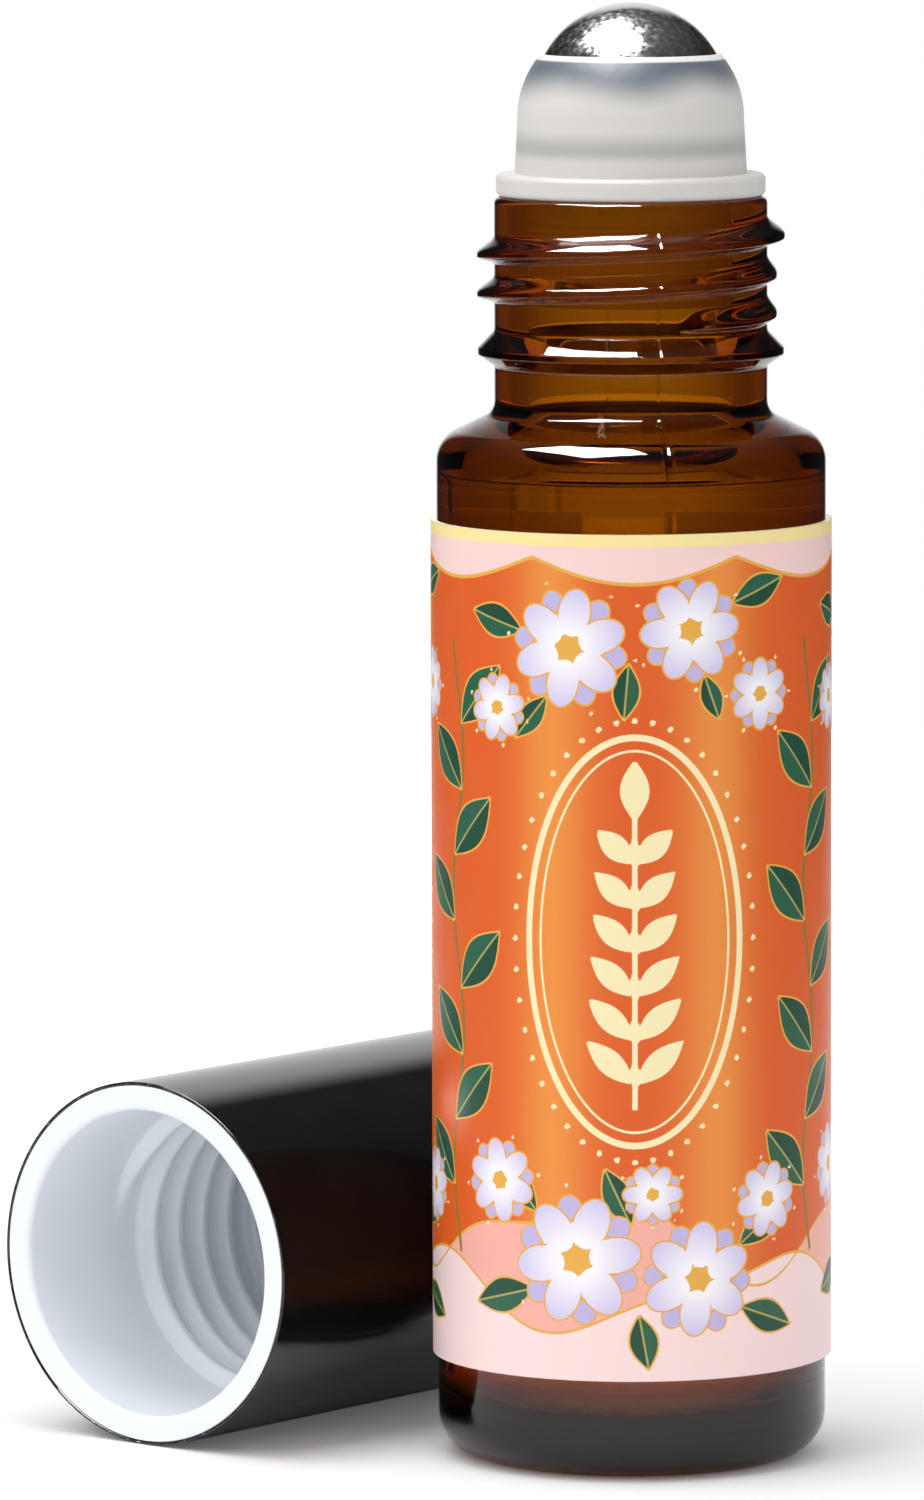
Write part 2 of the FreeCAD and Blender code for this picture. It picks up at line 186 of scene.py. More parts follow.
# Upright stem between two medallions, and the sprig inside one
STEM_FOOT, STEM_TIP = 6.0, 37.5
STEM_HALF_WIDTH = 0.13
STEM_SWAY, STEM_WAVE = 0.5, 14.0
STEM_LEAVES, STEM_LEAF_STEP = 8, 3.4
STEM_LEAF_TURN, STEM_LEAF_LENGTH, STEM_LEAF_WIDTH = 44, 4.3, 2.1
SPRIG_FOOT, SPRIG_TIP = 14.0, 29.6
SPRIG_HALF_WIDTH = 0.14
SPRIG_PAIRS, SPRIG_FIRST, SPRIG_STEP = 6, 1.2, 2.25
SPRIG_LEAF_TURN, SPRIG_LEAF_LENGTH, SPRIG_LEAF_WIDTH = 48, 3.4, 1.25
SPRIG_LEAF_TAPER = 0.15
SPRIG_END_FOOT, SPRIG_END_LENGTH, SPRIG_END_WIDTH = 1.0, 3.2, 1.5
# Painted sheen: two lighter warm bands in each repeat of the print, this far either side of its middle, and
# their width
PAINTED_SHEEN_MIDDLE, PAINTED_SHEEN_WIDTH = 4.3, 1.9
# Hills: height, and the size and shift of a slow and a quick wave
FAR_HILL = (7.2, 1.9, 0.9, 0.8, -0.5)
NEAR_HILL = (4.3, 1.6, -2.2, 0.5, 0.0)
# Swag along the top and the line above it
SWAG_DEPTH, SWAG_ARCH = 1.2, 1.3
EDGE_LINE = 0.62


# Surfaces

def smooth_step(share):
    """0 below 0, 1 above 1 and an S-shaped rise between them."""
    share = np.clip(share, 0, 1)
    return share * share * (3 - 2 * share)


def rounded_outline(corners, arc_steps=8, support=0.06 * MM):
    """Corners (radius, height, round) as a fine outline.

    A corner becomes an arc that touches both its sides, at round * tan(turn / 2) before and after it, and
    each straight stretch gets one more point close to either end, which keeps the shading flat there.
    """
    corners = np.asarray(corners, float)
    pieces = [corners[:1, :2]]
    for before, (*corner, radius), after in zip(corners[:-2, :2], corners[1:-1], corners[2:, :2]):
        arrive = (corner - before) / np.linalg.norm(corner - before)
        leave = (after - corner) / np.linalg.norm(after - corner)
        turn = math.atan2(arrive[0] * leave[1] - arrive[1] * leave[0], arrive @ leave)
        reach = radius * abs(math.tan(turn / 2))
        start = corner - arrive * reach
        centre = start + math.copysign(radius, turn) * np.array([-arrive[1], arrive[0]])
        angles = np.linspace(0, turn, arc_steps)[:, None]
        spoke = start - centre
        across = np.array([-spoke[1], spoke[0]])
        arc = centre + np.cos(angles) * spoke + np.sin(angles) * across
        pieces.append(np.vstack([start - arrive * support, arc, corner + leave * (reach + support)]))
    pieces.append(corners[-1:, :2])
    return np.vstack(pieces)


def full_turn(columns):
    """Angles of a number of columns, evenly round a full turn."""
    return np.linspace(0, TURN, columns, endpoint=False)


def axis_points(radius, height, angles, centre=(0, 0, 0), axis=(0, 0, 1)):
    """Points at a radius, height and angle about an axis.

    They lie at centre + height * axis + radius * (cos(angle) * side + sin(angle) * upright).
    """
    axis = Vector(axis).normalized()
    side = Vector((0, 0, 1)).cross(axis) if abs(axis.z) < 0.9 else Vector((1, 0, 0))
    side.normalize()
    upright = axis.cross(side)
    turned = np.cos(angles)[..., None] * np.array(side) + np.sin(angles)[..., None] * np.array(upright)
    return np.array(centre) + height[..., None] * np.array(axis) + radius[..., None] * turned


def add_piece(name, points, faces, body, node, finish):
    """A smooth mesh piece that rides on a body and stands for a node of the frame."""
    mesh = bpy.data.meshes.new(name)
    mesh.from_pydata(points.reshape(-1, 3).tolist(), [], faces)
    mesh.shade_smooth()
    mesh.materials.append(finish)
    piece = bpy.data.objects.new(name, mesh)
    bpy.context.scene.collection.objects.link(piece)
    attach(piece, body)
    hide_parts(node)
    return piece


def turned_faces(rows, columns):
    """Quads of a grid closed round its columns, and triangles to two poles, the list's last points."""
    grid = np.arange(rows * columns).reshape(rows, columns)
    beside = np.roll(grid, -1, axis=1)
    faces = np.stack([grid[:-1], beside[:-1], beside[1:], grid[1:]], axis=-1).reshape(-1, 4).tolist()
    first, last = rows * columns, rows * columns + 1
    faces += [[first, b, a] for a, b in zip(grid[0].tolist(), beside[0].tolist())]
    faces += [[a, b, last] for a, b in zip(grid[-1].tolist(), beside[-1].tolist())]
    return faces


def turned_piece(name, outline, angles, body, node, finish, swell=None, place=None):
    """An outline from axis to axis, turned round an axis.

    What swell(radius, angle, height) gives is added to its radius.
    """
    place = place or {}
    inner = outline[1:-1]
    height = np.repeat(inner[:, 1:], len(angles), axis=1)
    spread = np.repeat(angles[None], len(inner), axis=0)
    radius = np.repeat(inner[:, :1], len(angles), axis=1)
    if swell is not None:
        radius = radius + swell(radius, spread, height)
    points = axis_points(radius, height, spread, **place).reshape(-1, 3)
    ends = outline[[0, -1]]
    poles = axis_points(ends[:, 0], ends[:, 1], np.zeros(2), **place)
    faces = turned_faces(len(inner), len(angles))
    return add_piece(name, np.vstack([points, poles]), faces, body, node, finish)


def helix_section(angle, height, start, crest, flank, top_flank):
    """For a ridge that winds up a cylinder: the turns wound at the nearest pass, and its height there.

    At a given angle the passes lie every pitch. The distance to the nearest one gives the height, from
    0 to 1, of a flat crest between S-shaped flanks, one below and one above it.
    """
    turn_share = (angle % TURN) / TURN
    middle = start + (top_flank - flank) / 2
    wound = np.round((height - middle) / THREAD_PITCH - turn_share) + turn_share
    away = height - start - wound * THREAD_PITCH
    width = np.where(away > 0, top_flank, flank)
    return wound, smooth_step((crest / 2 + width - np.abs(away)) / width)


def run_out(wound, first, last):
    """Share of a ridge's height that is left near its first and last turns, where it fades into the wall."""
    return smooth_step((wound - first) / THREAD_FADE) * smooth_step((last - wound) / THREAD_FADE)


# Print of the label: distances in millimetres, below zero inside a printed shape

def oval_distance(across, up, half_width, half_height):
    """Distance to an oval's edge: its equation's value over the length of its slope."""
    value = (across / half_width) ** 2 + (up / half_height) ** 2 - 1
    slope = 2 * np.hypot(across / half_width**2, up / half_height**2)
    least_slope = 0.5 / max(half_width, half_height)
    return value / np.maximum(slope, least_slope)


def leaf_distance(across, up, foot, heading, length, width):
    """Distance to the edge of a pointed leaf, and distance across from its midrib.

    From foot to tip its half width is a half wave of sine, and past either end the nearest point is that end.
    """
    turn = math.radians(heading)
    along = (across - foot[0]) * math.cos(turn) + (up - foot[1]) * math.sin(turn)
    aside = (up - foot[1]) * math.cos(turn) - (across - foot[0]) * math.sin(turn)
    inside = np.clip(along, 0, length)
    half_width = width / 2 * np.sin(math.pi * inside / length)
    past_edge = np.abs(aside) - half_width
    distance = np.hypot(along - inside, np.maximum(past_edge, 0)) + np.minimum(past_edge, 0)
    return distance, aside


def line_distance(across, up, foot, tip, half_width):
    """Distance to an upright line with round ends, between two heights."""
    return np.hypot(across, up - np.clip(up, foot, tip)) - half_width


def nearest_leaf(across, up, leaves):
    """Distance to the nearest of several leaves, and distance across from that leaf's midrib."""
    edge = np.full(across.shape, FILM_HEIGHT)
    rib = np.full(across.shape, FILM_HEIGHT)
    for *foot, heading, length, width in leaves:
        distance, aside = leaf_distance(across, up, foot, heading, length, width)
        rib = np.where(distance < edge, aside, rib)
        edge = np.minimum(distance, edge)
    return edge, rib


def blossom_layers(across, up):
    """Distances to the nearest blossom's petals, eye and stamens, and the share of its radius.

    A blossom's polar angle is folded onto one petal, an oval along its spoke. The back petals stand
    between the front ones.
    """
    layer_names = ("front", "back", "eye", "stamen", "spread")
    layers = {name: np.full(across.shape, FILM_HEIGHT) for name in layer_names}
    for middle, height, radius, turn in BLOSSOMS:
        offset, rise = repeat_offset(across, middle), up - height
        reach = np.hypot(offset, rise)
        angle = np.arctan2(rise, offset) - math.radians(turn)
        here = {"spread": reach / radius, "eye": reach - EYE_R * radius}
        for name, shift, half_width in (
            ("front", 0.0, FRONT_PETAL_HALF_WIDTH),
            ("back", 0.5, BACK_PETAL_HALF_WIDTH),
        ):
            fold = ((angle / TURN * PETALS + shift + 0.5) % 1 - 0.5) * TURN / PETALS
            along, aside = reach * np.cos(fold), reach * np.sin(fold)
            here[name] = oval_distance(
                along - PETAL_MIDDLE * radius, aside, PETAL_HALF_LENGTH * radius, half_width * radius)
            if name == "back":
                here["stamen"] = np.hypot(along - STAMEN_REACH * radius, aside) - STAMEN_R
        closer = here["spread"] < layers["spread"]
        for name, distance in here.items():
            layers[name] = np.where(closer, distance, layers[name])
    return layers


def hill_distance(wave, up, height, size, shift, quick_size, quick_shift):
    """Distance above a hill's crest, the sum of its height and of two waves round the film."""
    return up - height - size * np.cos(wave + shift) - quick_size * np.cos(2 * wave + quick_shift)


def repeat_offset(across, middle=0.0):
    """Distance across from the nearest repeat of a place."""
    return (across - middle + REPEAT / 2) % REPEAT - REPEAT / 2


def stem_leaves():
    """Leaves of the upright stem between two medallions: they leave it on alternate sides."""
    for index in range(STEM_LEAVES):
        up = STEM_FOOT + (index + 1) * STEM_LEAF_STEP
        side = 1 if index % 2 else -1
        yield stem_sway(up), up, 90 - STEM_LEAF_TURN * side, STEM_LEAF_LENGTH, STEM_LEAF_WIDTH


def stem_sway(up):
    """How far the stem leans across at a height: a slow wave."""
    return STEM_SWAY * np.sin(TURN * up / STEM_WAVE)


def sprig_leaves():
    """Leaves of the sprig in the medallion: pairs up its stem and one at its tip."""
    for index in range(SPRIG_PAIRS):
        up = SPRIG_FOOT + SPRIG_FIRST + index * SPRIG_STEP
        length = SPRIG_LEAF_LENGTH - SPRIG_LEAF_TAPER * index
        for side in (-1, 1):
            yield 0.0, up, 90 - SPRIG_LEAF_TURN * side, length, SPRIG_LEAF_WIDTH
    yield 0.0, SPRIG_TIP - SPRIG_END_FOOT, 90, SPRIG_END_LENGTH, SPRIG_END_WIDTH


def print_layers(across, up):
    """Every field of the print and of its painted sheen, by name, at points across and up the film; the swag
    hangs in arches.
    """
    offset = repeat_offset(across)
    wave = TURN * offset / REPEAT
    stem_offset = repeat_offset(across, REPEAT / 2)
    layers = {f"petal_{name}": field for name, field in blossom_layers(across, up).items()}
    stem_leaf, stem_rib = nearest_leaf(stem_offset, up, stem_leaves())
    leaf, rib = nearest_leaf(offset, up, CLUSTER_LEAVES)
    layers["leaf"] = np.minimum(stem_leaf, leaf)
    layers["leaf_rib"] = np.where(stem_leaf < leaf, stem_rib, rib)
    layers["stem"] = line_distance(stem_offset - stem_sway(up), up, STEM_FOOT, STEM_TIP, STEM_HALF_WIDTH)
    layers["far_hill"] = hill_distance(wave, up, *FAR_HILL)
    layers["near_hill"] = hill_distance(wave, up, *NEAR_HILL)
    layers["swag"] = FILM_HEIGHT - SWAG_DEPTH - SWAG_ARCH * np.abs(np.cos(wave)) - up
    layers["edge_line"] = FILM_HEIGHT - EDGE_LINE - up
    rise = up - MEDALLION_MIDDLE
    layers["medallion"] = oval_distance(offset, rise, MEDALLION_HALF_WIDTH, MEDALLION_HALF_HEIGHT)
    ring_half_width = MEDALLION_HALF_WIDTH + MEDALLION_BEAD_GAP
    ring_half_height = MEDALLION_HALF_HEIGHT + MEDALLION_BEAD_GAP
    beads = [np.hypot(offset - ring_half_width * math.cos(angle), rise - ring_half_height * math.sin(angle))
             for angle in full_turn(MEDALLION_BEADS)]
    layers["bead"] = np.min(beads, axis=0) - MEDALLION_BEAD_R
    sprig_leaf, _ = nearest_leaf(offset, up, sprig_leaves())
    sprig_stem = line_distance(offset, up, SPRIG_FOOT, SPRIG_TIP, SPRIG_HALF_WIDTH)
    layers["sprig"] = np.minimum(sprig_leaf, sprig_stem)
    # Painted sheen: lighter bands either side of each repeat's middle, not ink.
    layers["painted_light"] = np.exp(-((np.abs(offset) - PAINTED_SHEEN_MIDDLE) / PAINTED_SHEEN_WIDTH) ** 2)
    return layers


# Finishes

def finish_nodes(name):
    """A new material, its node tree and its Principled shader."""
    material = bpy.data.materials.new(name)
    material.use_nodes = True
    return material, material.node_tree, material.node_tree.nodes["Principled BSDF"]


def ink(red, green, blue):
    """A colour given as display values from 0 to 255, in the renderer's linear terms."""
    shares = np.array([red, green, blue]) / 255
    linear = np.where(shares <= 0.04045, shares / 12.92, ((shares + 0.055) / 1.055) ** 2.4)
    return (*linear.tolist(), 1)


def spread_value(tree, value, from_low, from_high, to_low, to_high, smooth=False):
    """A socket's value carried from one range to another, and held at its ends."""
    spread = tree.nodes.new("ShaderNodeMapRange")
    if smooth:
        spread.interpolation_type = "SMOOTHSTEP"
    ends = {"From Min": from_low, "From Max": from_high, "To Min": to_low, "To Max": to_high}
    for name, size in ends.items():
        spread.inputs[name].default_value = size
    tree.links.new(value, spread.inputs["Value"])
    return spread.outputs["Result"]


def worked_out(tree, how, *values):
    """A value worked out from sockets or numbers, such as the smaller of two."""
    step = tree.nodes.new("ShaderNodeMath")
    step.operation = how
    for value, slot in zip(values, step.inputs):
        if isinstance(value, float):
            slot.default_value = value
        else:
            tree.links.new(value, slot)
    return step.outputs["Value"]


def own_place(tree, axis=None):
    """The piece's own coordinates, in metres, or one of them."""
    place = tree.nodes.new("ShaderNodeTexCoord").outputs["Object"]
    if axis is None:
        return place
    parts = tree.nodes.new("ShaderNodeSeparateXYZ")
    tree.links.new(place, parts.inputs["Vector"])
    return parts.outputs[axis]


def own_reach(tree, axes=(1, 1, 1)):
    """Distance from the piece's own origin, measured along the axes that are given as 1."""
    kept = tree.nodes.new("ShaderNodeVectorMath")
    kept.operation = "MULTIPLY"
    kept.inputs[1].default_value = axes
    tree.links.new(own_place(tree), kept.inputs[0])
    reach = tree.nodes.new("ShaderNodeVectorMath")
    reach.operation = "LENGTH"
    tree.links.new(kept.outputs["Vector"], reach.inputs[0])
    return reach.outputs["Value"]


def noise_value(tree, scale, low, high, detail=3.0):
    """Noise over the piece's own coordinates, in metres, spread from low to high."""
    noise = tree.nodes.new("ShaderNodeTexNoise")
    noise.inputs["Scale"].default_value = scale
    noise.inputs["Detail"].default_value = detail
    tree.links.new(own_place(tree), noise.inputs["Vector"])
    return spread_value(tree, noise.outputs["Fac"], 0.3, 0.7, low, high)


def add_bump(tree, shader, height, distance):
    """Relief of the shader's surface from a height socket that runs from 0 to 1."""
    bump = tree.nodes.new("ShaderNodeBump")
    bump.inputs["Distance"].default_value = distance
    tree.links.new(height, bump.inputs["Height"])
    tree.links.new(bump.outputs["Normal"], shader.inputs["Normal"])


def absorb(tree, colour, density):
    """Fills the material with a tint that deepens with thickness."""
    volume = tree.nodes.new("ShaderNodeVolumeAbsorption")
    volume.inputs["Color"].default_value = (*colour, 1)
    volume.inputs["Density"].default_value = density
    tree.links.new(volume.outputs["Volume"], tree.nodes["Material Output"].inputs["Volume"])


def mixed_colour(tree, share, under, over):
    """Two colours mixed by a share from 0 to 1; either may be a socket or a colour."""
    mix = tree.nodes.new("ShaderNodeMix")
    mix.data_type = "RGBA"
    for colour, slot in ((under, mix.inputs[6]), (over, mix.inputs[7])):
        if isinstance(colour, tuple):
            slot.default_value = colour
        else:
            tree.links.new(colour, slot)
    tree.links.new(share, mix.inputs["Factor"])
    return mix.outputs[2]


def amber_glass():
    """Moulded amber glass: clear, slightly wavy, with a tint that deepens with the wall.

    Its outside is dull at the label's height, where the glue covers it.
    """
    material, tree, shader = finish_nodes("amber_glass")
    shader.inputs["Base Color"].default_value = (1, 1, 1, 1)
    shader.inputs["Transmission Weight"].default_value = 1
    shader.inputs["IOR"].default_value = 1.52
    outer_wall, film_edge, glued_roughness = 0.2 * MM, 0.2 * MM, 0.6
    from_axis = own_reach(tree, (1, 1, 0))
    outside = spread_value(tree, from_axis, BODY_R - outer_wall, BODY_R - outer_wall / 2, 0, 1)
    up_film = spread_value(tree, own_place(tree, "Z"), FILM_FOOT + film_edge, FILM_TOP - film_edge, -1, 1)
    under_film = spread_value(tree, worked_out(tree, "ABSOLUTE", up_film), 0.99, 1, 1, 0)
    glued = worked_out(tree, "MULTIPLY", outside, under_film)
    dull = spread_value(tree, glued, 0, 1, 0, glued_roughness)
    haze = noise_value(tree, scale=90, low=0.0, high=0.03)
    tree.links.new(worked_out(tree, "MAXIMUM", haze, dull), shader.inputs["Roughness"])
    add_bump(tree, shader, noise_value(tree, scale=160, low=0, high=1, detail=1), 0.012 * MM)
    absorb(tree, colour=(0.863, 0.678, 0.0), density=1900)
    return material


def clear_oil():
    """Pale golden oil."""
    material, tree, shader = finish_nodes("oil")
    shader.inputs["Base Color"].default_value = (1, 1, 1, 1)
    shader.inputs["Transmission Weight"].default_value = 1
    shader.inputs["IOR"].default_value = 1.47
    tree.links.new(noise_value(tree, scale=60, low=0.0, high=0.02), shader.inputs["Roughness"])
    absorb(tree, colour=(0.98, 0.9, 0.55), density=90)
    return material


def milky_plastic():
    """Frosted moulding, with a painted highlight along the lip.

    It has painted shade, bluish grey, where the ball lies close behind its wall, and grey painted shade at
    the ball's seat.
    """
    material, tree, shader = finish_nodes("milky_plastic")
    height = own_place(tree, "Z")
    cloudy = noise_value(tree, scale=150, low=-0.4, high=0.4, detail=1)
    uneven = worked_out(tree, "MULTIPLY_ADD", cloudy, MM, height)
    # Painted shade: a bluish grey band below the lip, where the ball lies close behind the wall.
    painted_ball_shade = spread_value(tree, uneven, LIP_TOP - 2.6 * MM, LIP_TOP - 0.5 * MM, 0, 1, True)
    tone = mixed_colour(tree, painted_ball_shade, ink(228, 225, 222), ink(104, 116, 128))
    # Painted highlight: a near-white band along the top of the lip.
    painted_lip_highlight = spread_value(tree, height, LIP_TOP - 0.32 * MM, LIP_TOP - 0.2 * MM, 0, 1, True)
    tone = mixed_colour(tree, painted_lip_highlight, tone, ink(250, 250, 250))
    # Painted shade: a grey band at the ball's seat.
    seat_low, seat_middle, seat_high = (NECK_TOP + up * MM for up in (1.8, 2.5, 3.6))
    above_low = spread_value(tree, height, seat_low, seat_middle, 0, 1, True)
    below_high = spread_value(tree, height, seat_middle, seat_high, 1, 0, True)
    painted_seat_shade = worked_out(tree, "MINIMUM", above_low, below_high)
    tone = mixed_colour(tree, painted_seat_shade, tone, ink(190, 190, 187))
    tree.links.new(tone, shader.inputs["Base Color"])
    shader.inputs["IOR"].default_value = 1.5
    shader.inputs["Specular IOR Level"].default_value = 0.25
    shader.inputs["Transmission Weight"].default_value = 0.15
    shader.inputs["Sheen Weight"].default_value = 0.25
    shader.inputs["Sheen Roughness"].default_value = 0.35
    tree.links.new(noise_value(tree, scale=800, low=0.38, high=0.48), shader.inputs["Roughness"])
    add_bump(tree, shader, noise_value(tree, scale=2500, low=0, high=1), 0.004 * MM)
    return material


def polished_steel():
    """Polished ball with a grainy haze and a faint cloud in its colour."""
    material, tree, shader = finish_nodes("polished_steel")
    cloud = noise_value(tree, scale=420, low=0, high=1)
    tone = mixed_colour(tree, cloud, (0.49, 0.49, 0.5, 1), (0.6, 0.6, 0.6, 1))
    tree.links.new(tone, shader.inputs["Base Color"])
    shader.inputs["Metallic"].default_value = 1
    tree.links.new(noise_value(tree, scale=3200, low=0.09, high=0.27), shader.inputs["Roughness"])
    add_bump(tree, shader, noise_value(tree, scale=5200, low=0, high=1), 0.0003 * MM)
    return material


def black_shell():
    """Gloss black coated shell, with a faint ripple in its lacquer and a thin smear of dust."""
    material, tree, shader = finish_nodes("black_shell")
    dust = noise_value(tree, scale=340, low=0, high=1)
    tone = mixed_colour(tree, dust, (0.003, 0.003, 0.0035, 1), (0.006, 0.006, 0.0065, 1))
    tree.links.new(tone, shader.inputs["Base Color"])
    shader.inputs["Specular IOR Level"].default_value = 0.85
    tree.links.new(noise_value(tree, scale=220, low=0.05, high=0.11), shader.inputs["Roughness"])
    add_bump(tree, shader, noise_value(tree, scale=260, low=0, high=1, detail=1), 0.0015 * MM)
    return material


def white_plastic():
    """White satin moulding, slightly cloudy and fine-grained."""
    material, tree, shader = finish_nodes("white_plastic")
    cloud = noise_value(tree, scale=180, low=0, high=1)
    tone = mixed_colour(tree, cloud, (0.88, 0.92, 0.96, 1), (0.91, 0.95, 0.99, 1))
    tree.links.new(tone, shader.inputs["Base Color"])
    tree.links.new(noise_value(tree, scale=500, low=0.32, high=0.42), shader.inputs["Roughness"])
    add_bump(tree, shader, noise_value(tree, scale=1800, low=0, high=1), 0.003 * MM)
    return material


def printed_film():
    """Printed film: inks laid over each other inside the edges that the film's fields give, on an orange
    ground with lighter bands of painted sheen.

    Its back is white, and glows a little in place of the light that passes through the film.
    """
    material, tree, shader = finish_nodes("printed_film")
    crisp = 0.05
    rib_line, fine_line, key_line, leaf_key, bold_line = 0.05, 0.07, 0.09, 0.11, 0.17
    inner_oval = -0.7
    petal_pale, petal_full = 0.25, 0.95
    painted_back_glow = 0.28

    def field(name):
        attribute = tree.nodes.new("ShaderNodeAttribute")
        attribute.attribute_name = name
        return attribute.outputs["Fac"]

    def inside(name, reach=0.0):
        return spread_value(tree, field(name), reach - crisp / 2, reach + crisp / 2, 1, 0, True)

    def on_line(name, offset, half_width):
        away = spread_value(tree, field(name), offset - 1, offset + 1, -1, 1)
        distance = worked_out(tree, "ABSOLUTE", away)
        return spread_value(tree, distance, half_width - crisp / 2, half_width + crisp / 2, 1, 0, True)

    deep, painted_sheen_orange = ink(226, 96, 34), ink(239, 146, 64)
    cream, gold = ink(252, 236, 186), ink(236, 176, 74)
    half = spread_value(tree, field("leaf_rib"), -crisp, crisp, 0, 1)
    leaf_tone = mixed_colour(tree, half, ink(34, 80, 60), ink(44, 100, 74))
    leaf_tone = mixed_colour(tree, on_line("leaf_rib", 0, rib_line), leaf_tone, ink(176, 168, 96))
    fade = spread_value(tree, field("petal_spread"), petal_pale, petal_full, 0, 1)
    petal_tone = mixed_colour(tree, fade, ink(252, 249, 252), ink(214, 204, 238))
    tone = deep
    for share, colour in (
        # Painted sheen: lighter warm bands in the orange ground.
        (field("painted_light"), painted_sheen_orange),
        (inside("far_hill"), ink(247, 178, 164)),
        (inside("near_hill"), ink(250, 222, 221)),
        (on_line("far_hill", 0, fine_line), gold),
        (on_line("near_hill", 0, fine_line), gold),
        (inside("swag"), ink(250, 214, 210)),
        (on_line("swag", 0, key_line), gold),
        (inside("stem"), ink(150, 118, 52)),
        (inside("leaf", leaf_key), gold),
        (inside("leaf"), leaf_tone),
        (on_line("medallion", 0, bold_line), cream),
        (on_line("medallion", inner_oval, fine_line), cream),
        (inside("bead"), cream),
        (inside("sprig"), cream),
        (inside("petal_stamen"), cream),
        (inside("petal_back", key_line), gold),
        (inside("petal_back"), ink(196, 184, 228)),
        (inside("petal_front", key_line), gold),
        (inside("petal_front"), petal_tone),
        (inside("petal_eye"), gold),
        (inside("edge_line"), ink(251, 232, 160)),
    ):
        tone = mixed_colour(tree, share, tone, colour)
    tone = mixed_colour(tree, field("printed"), ink(244, 240, 232), tone)
    tree.links.new(tone, shader.inputs["Base Color"])
    # Painted light: the back glows a little, in place of the light that passes through the film.
    painted_light = spread_value(tree, field("printed"), 0, 1, painted_back_glow, 0)
    tree.links.new(painted_light, shader.inputs["Emission Strength"])
    shader.inputs["Emission Color"].default_value = (1, 0.93, 0.85, 1)
    shader.inputs["Specular IOR Level"].default_value = 0.35
    tree.links.new(noise_value(tree, scale=500, low=0.3, high=0.38), shader.inputs["Roughness"])
    add_bump(tree, shader, noise_value(tree, scale=1400, low=0, high=1), 0.002 * MM)
    return material


# Pieces

def make_glass(finish):
    """The vial in one skin, inside and out, with the thread and the mould seams raised on its neck."""
    bore_root = CAVITY_SHOULDER + (CAVITY_R - NECK_BORE_R) * SHOULDER_SLOPE
    bead_r = NECK_R + BEAD_RISE
    thread_low = BEAD_MIDDLE + BEAD_ABOVE + THREAD_MARGIN
    thread_high = NECK_TOP - MOUTH_ROUND - THREAD_MARGIN
    thread_rows, push_up_rows = 120, 10
    push_up_r = np.linspace(0, STANDING_RING_R, push_up_rows)[:-1]
    push_up = np.stack([push_up_r, PUSH_UP * (1 - (push_up_r / STANDING_RING_R) ** 2)], axis=-1)
    below = rounded_outline([
        (STANDING_RING_R, 0, 0),
        (BODY_R, 0, HEEL_ROUND),
        (BODY_R, SHOULDER_HEIGHT, SHOULDER_ROUND),
        (NECK_R, NECK_ROOT, NECK_ROOT_ROUND),
        (NECK_R, BEAD_MIDDLE - BEAD_BELOW, BEAD_FOOT_ROUND),
        (bead_r, BEAD_MIDDLE - BEAD_CREST / 2, BEAD_ROUND),
        (bead_r, BEAD_MIDDLE + BEAD_CREST / 2, BEAD_ROUND),
        (NECK_R, BEAD_MIDDLE + BEAD_ABOVE, BEAD_FOOT_ROUND),
        (NECK_R, thread_low, 0),
    ])
    threaded = np.stack([
        np.full(thread_rows, NECK_R),
        np.linspace(thread_low, thread_high, thread_rows),
    ], axis=-1)
    above = rounded_outline([
        (NECK_R, thread_high, 0),
        (NECK_R, NECK_TOP, MOUTH_ROUND),
        (NECK_BORE_R, NECK_TOP, MOUTH_ROUND),
        (NECK_BORE_R, bore_root, BORE_ROOT_ROUND),
        (CAVITY_R, CAVITY_SHOULDER, CAVITY_SHOULDER_ROUND),
        (CAVITY_R, CAVITY_FLOOR, CAVITY_ROUND),
        (0, CAVITY_FLOOR, 0),
    ])
    outline = np.vstack([push_up, below[:-1], threaded, above[1:]])

    def raised(radius, angle, height):
        wound, section = helix_section(
            angle, height, THREAD_START, THREAD_CREST, THREAD_FLANK, THREAD_TOP_FLANK)
        section = section * run_out(wound, THREAD_FIRST, THREAD_LAST)
        to_right = (np.cos(angle) - THREAD_EASE_FROM) / (1 - THREAD_EASE_FROM)
        eased = smooth_step(to_right) * (wound < THREAD_EASE_UP_TO)
        outer = radius > NECK_R - HAIR
        on_neck = (height > thread_low) & outer
        ridge = np.where(on_neck, THREAD_RISE * section * (1 - THREAD_EASE * eased), 0)
        aside = (angle - SEAM_ANGLE + math.pi / 2) % math.pi - math.pi / 2
        seam = smooth_step(1 - np.abs(aside) * NECK_R / SEAM_HALF_WIDTH)
        bare = smooth_step((height - FILM_TOP) / MM) * outer
        return ridge + SEAM_RISE * seam * bare

    beside_seam = np.linspace(-1, 1, 7) * SEAM_HALF_WIDTH / NECK_R
    seams = np.concatenate([SEAM_ANGLE + beside_seam, SEAM_ANGLE + math.pi + beside_seam]) % TURN
    angles = np.unique(np.concatenate([full_turn(256), seams]))
    return turned_piece(
        "glass_vial", outline, angles, "bottle", "glass_bottle", finish, raised)


def make_oil(finish):
    """The contents, a hair wider than the cavity, with an edge that creeps up the glass."""
    overlap = 0.03 * MM
    edge_round = 0.03 * MM
    creep = 0.12 * MM
    outline = rounded_outline([
        (0, CAVITY_FLOOR - overlap, 0),
        (CAVITY_R + overlap, CAVITY_FLOOR - overlap, CAVITY_ROUND),
        (CAVITY_R + overlap, OIL_LEVEL, edge_round),
        (CAVITY_R - creep, OIL_LEVEL - creep, creep),
        (0, OIL_LEVEL - creep, 0),
    ])
    angles = full_turn(192)
    return turned_piece("oil", outline, angles, "bottle", "oil_fill", finish)


